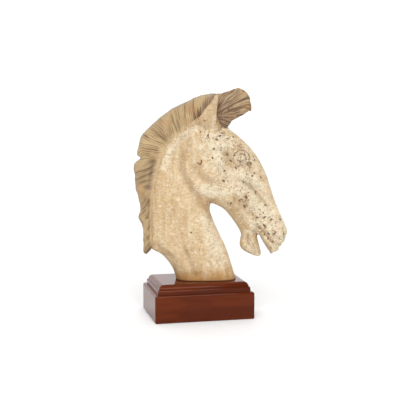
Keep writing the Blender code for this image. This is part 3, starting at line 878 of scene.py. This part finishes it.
class Shader:
    """A material under construction, with short calls for the nodes that it needs."""

    def __init__(self, name):
        self.material = bpy.data.materials.new(name)
        self.material.use_nodes = True
        self.tree = self.material.node_tree
        self.surface = self.tree.nodes["Principled BSDF"]
        self.colour = (1, 1, 1, 1)

    def plug(self, value, socket):
        if isinstance(value, bpy.types.NodeSocket):
            self.tree.links.new(value, socket)
        else:
            socket.default_value = value

    def node(self, kind, **settings):
        made = self.tree.nodes.new(kind)
        for name, value in settings.items():
            setattr(made, name, value)
        return made

    def place(self):
        """Place on the piece, in millimetres."""
        return self.scaled(self.node("ShaderNodeTexCoord").outputs["Object"], (1000, 1000, 1000))

    def painted(self, name):
        return self.node("ShaderNodeAttribute", attribute_name=name).outputs["Fac"]

    def vector(self, x, y, z):
        made = self.node("ShaderNodeCombineXYZ")
        for value, socket in zip((x, y, z), made.inputs):
            self.plug(value, socket)
        return made.outputs[0]

    def scaled(self, vector, factors):
        made = self.node("ShaderNodeVectorMath", operation="MULTIPLY")
        self.plug(vector, made.inputs[0])
        self.plug(factors, made.inputs[1])
        return made.outputs[0]

    def added(self, first, second):
        made = self.node("ShaderNodeVectorMath", operation="ADD")
        self.plug(first, made.inputs[0])
        self.plug(second, made.inputs[1])
        return made.outputs[0]

    def height(self, vector):
        made = self.node("ShaderNodeSeparateXYZ")
        self.plug(vector, made.inputs[0])
        return made.outputs[2]

    def noise(self, vector, scale=1.0, detail=2.0, roughness=0.5, distortion=0.0, output="Fac"):
        made = self.node("ShaderNodeTexNoise")
        self.plug(vector, made.inputs["Vector"])
        made.inputs["Scale"].default_value = scale
        made.inputs["Detail"].default_value = detail
        made.inputs["Roughness"].default_value = roughness
        made.inputs["Distortion"].default_value = distortion
        return made.outputs[output]

    def cells(self, vector, scale):
        """Distance to the nearest of scattered points, and a random number for that point."""
        made = self.node("ShaderNodeTexVoronoi", feature="F1")
        self.plug(vector, made.inputs["Vector"])
        made.inputs["Scale"].default_value = scale
        made.inputs["Randomness"].default_value = 1.0
        chance = self.node("ShaderNodeSeparateColor")
        self.plug(made.outputs["Color"], chance.inputs[0])
        return made.outputs["Distance"], chance.outputs[0]

    def math(self, operation, first, second):
        made = self.node("ShaderNodeMath", operation=operation)
        self.plug(first, made.inputs[0])
        self.plug(second, made.inputs[1])
        return made.outputs[0]

    def plus(self, first, second):
        return self.math("ADD", first, second)

    def times(self, first, second):
        return self.math("MULTIPLY", first, second)

    def larger(self, first, second):
        return self.math("MAXIMUM", first, second)

    def spread(self, value, low, high, to_low=0.0, to_high=1.0):
        """A value stretched from one range to another, smoothly, and kept inside it."""
        made = self.node("ShaderNodeMapRange", interpolation_type="SMOOTHSTEP")
        for given, socket in zip((value, low, high, to_low, to_high), made.inputs):
            self.plug(given, socket)
        return made.outputs[0]

    def mixed(self, share, first, second):
        made = self.node("ShaderNodeMix", data_type="RGBA")
        self.plug(share, made.inputs["Factor"])
        self.plug(first, made.inputs[6])
        self.plug(second, made.inputs[7])
        return made.outputs[2]

    def lay(self, tint, share):
        """Lays a tint over the colour so far, as thickly as share says."""
        self.colour = self.mixed(share, self.colour, tint)

    def spot(self, gap, size):
        """1 near a scattered point and 0 outside its soft spot of this size."""
        share = self.math("DIVIDE", gap, self.larger(size, 0.001))
        return self.math("SUBTRACT", 1.0, self.spread(share, 0.4, 1.3))

    def bumped(self, height, distance, strength=1.0, before=None):
        made = self.node("ShaderNodeBump")
        made.inputs["Strength"].default_value = strength
        made.inputs["Distance"].default_value = distance
        self.plug(height, made.inputs["Height"])
        if before is not None:
            self.plug(before, made.inputs["Normal"])
        return made.outputs[0]

    def finish(self, roughness, normal, **others):
        """Plugs the laid colour and the rest into the surface; underscores stand for spaces."""
        self.plug(self.colour, self.surface.inputs["Base Color"])
        self.plug(roughness, self.surface.inputs["Roughness"])
        self.plug(normal, self.surface.inputs["Normal"])
        for name, value in others.items():
            self.plug(value, self.surface.inputs[name.replace("_", " ")])
        return self.material


# In the materials, noise scales are per millimetre, and a spread's four numbers are the range
# that is read and the range that it becomes. Noise is read at a shifted place where it must not
# repeat noise that is already there.
CREAM = (0.68, 0.51, 0.30, 1)
OCHRE = (0.58, 0.40, 0.205, 1)
PALE = (0.78, 0.68, 0.49, 1)
WHITE = (0.83, 0.75, 0.58, 1)
GREY_GREEN = (0.50, 0.45, 0.33, 1)
PINKISH = (0.64, 0.46, 0.31, 1)
# Brown for stains, also laid as painted shade
STAIN_AND_SHADE = (0.28, 0.16, 0.072, 1)
WORN = (0.44, 0.29, 0.13, 1)
DEEP_SHADE = (0.17, 0.12, 0.075, 1)
# Dark for pits and marks, also laid as painted shade where the foot meets the plinth
PIT_AND_CONTACT_SHADE = (0.13, 0.046, 0.018, 1)
AMBER = (0.40, 0.18, 0.03, 1)
HAIRLINE_BROWN = (0.28, 0.16, 0.075, 1)


def lay_wood(s, place, streak):
    """Cream and ochre wood with upright streaks, darker towards the foot."""
    cloud = s.noise(place, 0.022, 3)
    s.colour = s.mixed(s.spread(cloud, 0.35, 0.65), CREAM, OCHRE)
    s.lay(PALE, s.spread(streak, 0.36, 0.5, 0.5, 0))
    s.lay(OCHRE, s.spread(streak, 0.5, 0.66, 0, 0.65))
    s.lay(WORN, s.spread(streak, 0.54, 0.68, 0, 0.6))
    low = s.plus(s.height(place), s.spread(cloud, 0.3, 0.7, -20, 20))
    s.lay(OCHRE, s.spread(low, 20, 130, 0.6, 0))


def lay_whitewash(s, place, bleached, wash):
    """Worn whitewash, with greyish and pinkish tints in it."""
    thick = s.plus(bleached, s.spread(wash, 0.3, 0.7, -0.75, 0.75))
    s.lay(PALE, s.spread(thick, -0.1, 1.2, 0, 1))
    tint = s.height(s.noise(place, 0.06, 5, 0.65, output="Color"))
    s.lay(GREY_GREEN, s.times(s.spread(tint, 0.52, 0.68), s.spread(bleached, 0, 0.8, 0.2, 0.6)))
    tint = s.noise(s.added(place, (50, 0, 0)), 0.045, 4, 0.6)
    s.lay(PINKISH, s.spread(tint, 0.5, 0.66, 0, 0.4))


def lay_grain(s, place, bleached, grain, mottle):
    """Wavy cross-grain, brown blotches and small pale flakes."""
    s.lay(STAIN_AND_SHADE, s.spread(grain, 0.46, 0.68, 0, 0.55))
    blotch = s.noise(s.added(place, (0, 90, 0)), 0.05, 5, 0.7)
    low = s.spread(s.height(place), 20, 150, 0.7, 0.2)
    s.lay(WORN, s.times(s.spread(blotch, 0.5, 0.64), low))
    s.lay(STAIN_AND_SHADE, s.spread(mottle, 0.5, 0.7, 0, 0.34))
    s.lay(PALE, s.times(s.spread(mottle, 0.34, 0.5, 0.7, 0), s.spread(bleached, 0, 0.8, 0.2, 1)))


def lay_stains(s, pitted, ragged):
    """Ragged brown stains."""
    worn = s.spread(s.plus(s.painted("stained"), s.times(pitted, 0.08)), 0.05, 1, 0, 0.75)
    s.lay(WORN, s.times(s.spread(ragged, 0.36, 0.56), worn))
    s.lay(STAIN_AND_SHADE, s.times(s.spread(ragged, 0.52, 0.66), worn))


def lay_pits(s, place, bleached, pitted, mottle):
    """Scattered pits, specks and white flecks, painted shade in the grooves round the eye, and single
    marks.
    """
    bent = s.added(place, s.scaled(s.noise(place, 0.6, 2, output="Color"), (3, 3, 3)))
    gap, chance = s.cells(s.scaled(bent, (1.0, 1.0, 0.8)), 0.36)
    size = s.times(s.spread(chance, 0.3, 1.0, 0.0, 0.36), s.spread(pitted, 0.1, 0.9, 0.15, 1))
    pit = s.times(s.spot(gap, size), s.spread(chance, 0.3, 1.0, 0.35, 0.85))
    gap, chance = s.cells(bent, 0.7)
    size = s.times(s.spread(chance, 0.55, 1.0, 0.0, 0.4), s.spread(pitted, 0, 0.8, 0.55, 1))
    s.lay(STAIN_AND_SHADE, s.times(s.spot(gap, size), s.spread(pitted, 0, 0.8, 0.35, 0.55)))
    gap, chance = s.cells(s.added(bent, (30, 0, 0)), 0.5)
    fleck = s.spread(s.math("SUBTRACT", s.spread(chance, 0.4, 0.9, 0.1, 0.5), gap), 0, 0.12)
    pale = s.larger(pitted, s.times(bleached, 0.5))
    s.lay(WHITE, s.times(fleck, s.spread(pale, 0.1, 0.8, 0.12, 0.7)))
    # Painted shade in the grooves round the eye
    s.lay(STAIN_AND_SHADE, s.times(s.spread(s.painted("eye"), 0.1, 0.8), s.spread(mottle, 0.3, 0.6, 0.5, 0.95)))
    pit = s.larger(pit, s.spread(s.painted("pit"), 0.05, 0.75, 0, 0.95))
    pit = s.larger(pit, s.spread(s.painted("mark"), 0.15, 0.7, 0, 0.95))
    s.lay(PIT_AND_CONTACT_SHADE, pit)
    return pit


def lay_shade_and_dirt(s, place, streak, wash, mottle):
    """Painted shade, partly dirt, in the hollows and carved lines; brown at the ear's root; darker
    along the mane; amber at the foot, and painted shade where the foot meets the plinth.
    """
    # Painted shade: darker the deeper a point lies in a hollow
    s.lay(STAIN_AND_SHADE, s.spread(s.painted("hollow"), 0.05, 0.9, 0, 0.35))
    # Painted shade, with some dirt, along the carved lines, and painted deep shade in the deepest
    # places
    shade = s.spread(s.painted("shaded"), 0, 1, 0, 0.24)
    s.lay(STAIN_AND_SHADE, s.times(shade, s.spread(wash, 0.25, 0.55, 0.6, 1)))
    deep = s.spread(s.painted("deep"), 0.1, 1.0, 0, 0.75)
    s.lay(DEEP_SHADE, s.times(deep, s.spread(wash, 0.3, 0.6, 0.7, 1)))
    hairline = s.plus(s.painted("hairline"), s.spread(streak, 0.35, 0.65, -0.3, 0.3))
    s.lay(HAIRLINE_BROWN, s.spread(hairline, 0.3, 0.9, 0, 0.9))
    root = s.times(s.painted("root"), s.spread(mottle, 0.35, 0.6))
    s.lay(STAIN_AND_SHADE, s.times(root, 0.6))
    foot = s.plus(s.height(place), s.spread(streak, 0.3, 0.7, 5, -5))
    foot = s.plus(foot, s.spread(wash, 0.3, 0.7, 4, -4))
    s.lay(AMBER, s.spread(foot, -4, 26, 0.85, 0))
    # Painted shade where the foot meets the plinth
    s.lay(PIT_AND_CONTACT_SHADE, s.spread(s.height(place), 0.5, 2.5, 0.8, 0))


def skin_material():
    """Pale carved surface: wavy cross-grain, worn whitewash, brown stains, pits, dirt and painted
    shade.
    """
    s = Shader("carved_skin")
    place = s.place()
    bleached, pitted = s.painted("bleached"), s.painted("pitted")
    streak = s.noise(s.scaled(place, (0.11, 0.11, 0.014)), 1.0, 4, 0.6)
    wash = s.noise(place, 0.13, 6, 0.68, 0.3)
    grain = s.noise(s.scaled(place, (0.2, 0.2, 0.45)), 1.0, 5, 0.7, 0.8)
    mottle = s.noise(place, 0.33, 4, 0.7)
    ragged = s.noise(place, 0.34, 5, 0.75, 0.5)
    lay_wood(s, place, streak)
    lay_whitewash(s, place, bleached, wash)
    lay_grain(s, place, bleached, grain, mottle)
    lay_stains(s, pitted, ragged)
    pit = lay_pits(s, place, bleached, pitted, mottle)
    lay_shade_and_dirt(s, place, streak, wash, mottle)
    normal = s.bumped(s.math("SUBTRACT", 1.0, pit), 0.0006, 0.7)
    normal = s.bumped(grain, 0.0005, 0.5, normal)
    normal = s.bumped(wash, 0.0010, 0.6, normal)
    normal = s.bumped(s.times(ragged, s.spread(pitted, 0, 0.8, 0.25, 1)), 0.0014, 0.8, normal)
    return s.finish(s.spread(wash, 0.3, 0.7, 0.5, 0.7), normal)


TAN = (0.35, 0.23, 0.105, 1)
GOLD = (0.47, 0.33, 0.155, 1)
# Painted shade in the hair's grooves
GROOVE_SHADE_BROWN = (0.12, 0.066, 0.032, 1)
MID_BROWN = (0.22, 0.135, 0.07, 1)
RED_DARK = (0.15, 0.083, 0.043, 1)
RUST = (0.40, 0.20, 0.075, 1)
UMBER = (0.25, 0.143, 0.064, 1)
# Painted shade on the crest's edge
CREST_SHADE_GREY = (0.33, 0.29, 0.22, 1)


def hair_material(name, first, second, worn, dark_from):
    """Strands in two browns with ridges paler by this much, as wear and painted highlight, and
    painted shade in the grooves from this depth.
    """
    s = Shader(name)
    across, along = s.painted("strand_across"), s.painted("strand_along")
    fibres = s.noise(s.vector(across, s.times(along, 0.08), 0.0), 0.9, 4, 0.65)
    locks = s.noise(s.vector(across, s.times(along, 0.12), 3.0), 0.16, 3, 0.6)
    cloud = s.noise(s.place(), 0.03, 2)
    s.colour = s.mixed(s.spread(cloud, 0.35, 0.65), first, second)
    s.lay(MID_BROWN, s.spread(locks, 0.4, 0.7, 0, 0.35))
    s.lay(MID_BROWN, s.spread(fibres, 0.45, 0.75, 0, 0.45))
    s.lay(CREAM, s.spread(fibres, 0.3, 0.45, 0.4, 0))
    rust = s.noise(s.added(s.place(), (0, 0, 70)), 0.045, 3)
    s.lay(RUST, s.spread(rust, 0.55, 0.7, 0, 0.55))
    dark = s.plus(s.painted("dark"), s.spread(fibres, 0.35, 0.65, -0.25, 0.25))
    # Darker hair in the dark zones, which in the mane include painted shade behind the ear
    s.lay(RED_DARK, s.spread(dark, 0.1, 1.0, 0, 0.85))
    groove = s.plus(s.painted("groove"), s.spread(fibres, 0.35, 0.65, 0.12, -0.12))
    # Paler on the ridges: wear, and painted highlight
    s.lay(CREAM, s.spread(groove, 0.0, 0.25, worn, 0))
    # Painted shade in the grooves
    s.lay(GROOVE_SHADE_BROWN, s.spread(groove, dark_from, dark_from + 0.55, 0, 0.9))
    tip = s.painted("tip")
    # Painted shade where the crest turns away
    s.lay(CREST_SHADE_GREY, s.spread(tip, 0.86, 0.98, 0, 0.5))
    root = s.plus(tip, s.spread(fibres, 0.3, 0.7, -0.14, 0.14))
    s.lay(CREAM, s.spread(root, 0.0, 0.2, 0.7, 0))
    grit = s.noise(s.place(), 0.5, 3, 0.7)
    s.lay(MID_BROWN, s.spread(grit, 0.5, 0.75, 0, 0.4))
    return s.finish(0.6, s.bumped(fibres, 0.0007, 0.7))


RED_BROWN = (0.125, 0.022, 0.004, 1)
DARK_RED = (0.085, 0.014, 0.003, 1)


def varnished_material():
    """Polished red-brown wood with a long straight grain under a clear varnish."""
    s = Shader("varnished_plinth")
    place = s.place()
    figure = s.noise(s.scaled(place, (0.006, 0.06, 0.06)), 1.0, 3, 0.5, 0.6)
    pores = s.noise(s.scaled(place, (0.05, 1.2, 1.2)), 1.0, 4, 0.6)
    s.colour = s.mixed(s.spread(figure, 0.35, 0.65), RED_BROWN, DARK_RED)
    s.lay(DARK_RED, s.spread(pores, 0.5, 0.8, 0, 0.5))
    varnish = {"Coat_Weight": 1.0, "Coat_Roughness": 0.05, "Coat_IOR": 1.23}
    return s.finish(0.4, s.bumped(pores, 0.0001, 0.3), Specular_IOR_Level=0.0, **varnish)


def make_floor():
    """A pale studio floor."""
    shape = bmesh.new()
    bmesh.ops.create_circle(shape, cap_ends=True, segments=96, radius=BACKDROP_RADIUS)
    mesh = bpy.data.meshes.new("floor")
    shape.to_mesh(mesh)
    shape.free()
    floor = bpy.data.objects.new("floor", mesh)
    bpy.context.scene.collection.objects.link(floor)
    s = Shader("floor")
    s.colour = s.mixed(s.noise(s.place(), 0.01, 2), (0.9, 0.9, 0.9, 1), (0.92, 0.92, 0.92, 1))
    mesh.materials.append(s.finish(0.9, s.bumped(0.5, 0.0001)))


def make_backdrop():
    """A white dome far round the work, which the camera sees and the light passes."""
    shape = bmesh.new()
    bmesh.ops.create_icosphere(shape, subdivisions=4, radius=BACKDROP_RADIUS)
    mesh = bpy.data.meshes.new("backdrop")
    shape.to_mesh(mesh)
    shape.free()
    backdrop = bpy.data.objects.new("backdrop", mesh)
    bpy.context.scene.collection.objects.link(backdrop)
    white = Shader("backdrop")
    white.surface.inputs["Base Color"].default_value = (0, 0, 0, 1)
    white.surface.inputs["Emission Color"].default_value = (1, 1, 1, 1)
    white.surface.inputs["Emission Strength"].default_value = 1.1
    mesh.materials.append(white.material)
    backdrop.visible_diffuse = False
    backdrop.visible_glossy = False
    backdrop.visible_shadow = False


def make_key_light():
    """A wide soft light from above the camera."""
    data = bpy.data.lights.new("key", "SUN")
    data.energy = KEY_STRENGTH
    data.angle = math.radians(KEY_WIDTH)
    light = bpy.data.objects.new("key", data)
    bpy.context.scene.collection.objects.link(light)
    light.rotation_euler = (-KEY_FROM).to_track_quat("-Z", "Y").to_euler()


def make_world():
    """A white studio, brighter behind the work than in front of it."""
    world = bpy.data.worlds.new("studio")
    world.use_nodes = True
    tree = world.node_tree
    background = tree.nodes["Background"]
    direction = tree.nodes.new("ShaderNodeTexCoord")
    split = tree.nodes.new("ShaderNodeSeparateXYZ")
    level = tree.nodes.new("ShaderNodeMapRange")
    tree.links.new(direction.outputs["Generated"], split.inputs[0])
    tree.links.new(split.outputs["Y"], level.inputs["Value"])
    for name, value in zip(("From Min", "From Max", "To Min", "To Max"), STUDIO_LEVELS):
        level.inputs[name].default_value = value
    tree.links.new(level.outputs[0], background.inputs["Strength"])
    background.inputs["Color"].default_value = (1, 1, 1, 1)
    bpy.context.scene.world = world


def make_camera():
    """The camera at the photograph's angle, with plain colours that white can reach."""
    bpy.context.scene.view_settings.view_transform = "Standard"
    data = bpy.data.cameras.new("camera")
    data.lens = LENS
    data.sensor_width = 36.0
    camera = bpy.data.objects.new("camera", data)
    bpy.context.scene.collection.objects.link(camera)
    a, e = math.radians(AZIMUTH), math.radians(ELEVATION)
    back = Vector((math.sin(a) * math.cos(e), -math.cos(a) * math.cos(e), math.sin(e)))
    camera.location = TARGET + back * DISTANCE
    camera.rotation_euler = (-back).to_track_quat("-Z", "Y").to_euler()
    bpy.context.scene.camera = camera


def main():
    make_camera()
    make_world()
    make_floor()
    make_backdrop()
    make_key_light()
    make_body(skin_material())
    make_mane(hair_material("mane_hair", TAN, GOLD, 0.3, 0.14))
    make_forelock(hair_material("forelock_hair", UMBER, TAN, 0.42, 0.08))
    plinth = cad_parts["plinth"]
    for place in plinth.material_slots:
        place.material = varnished_material()


main()
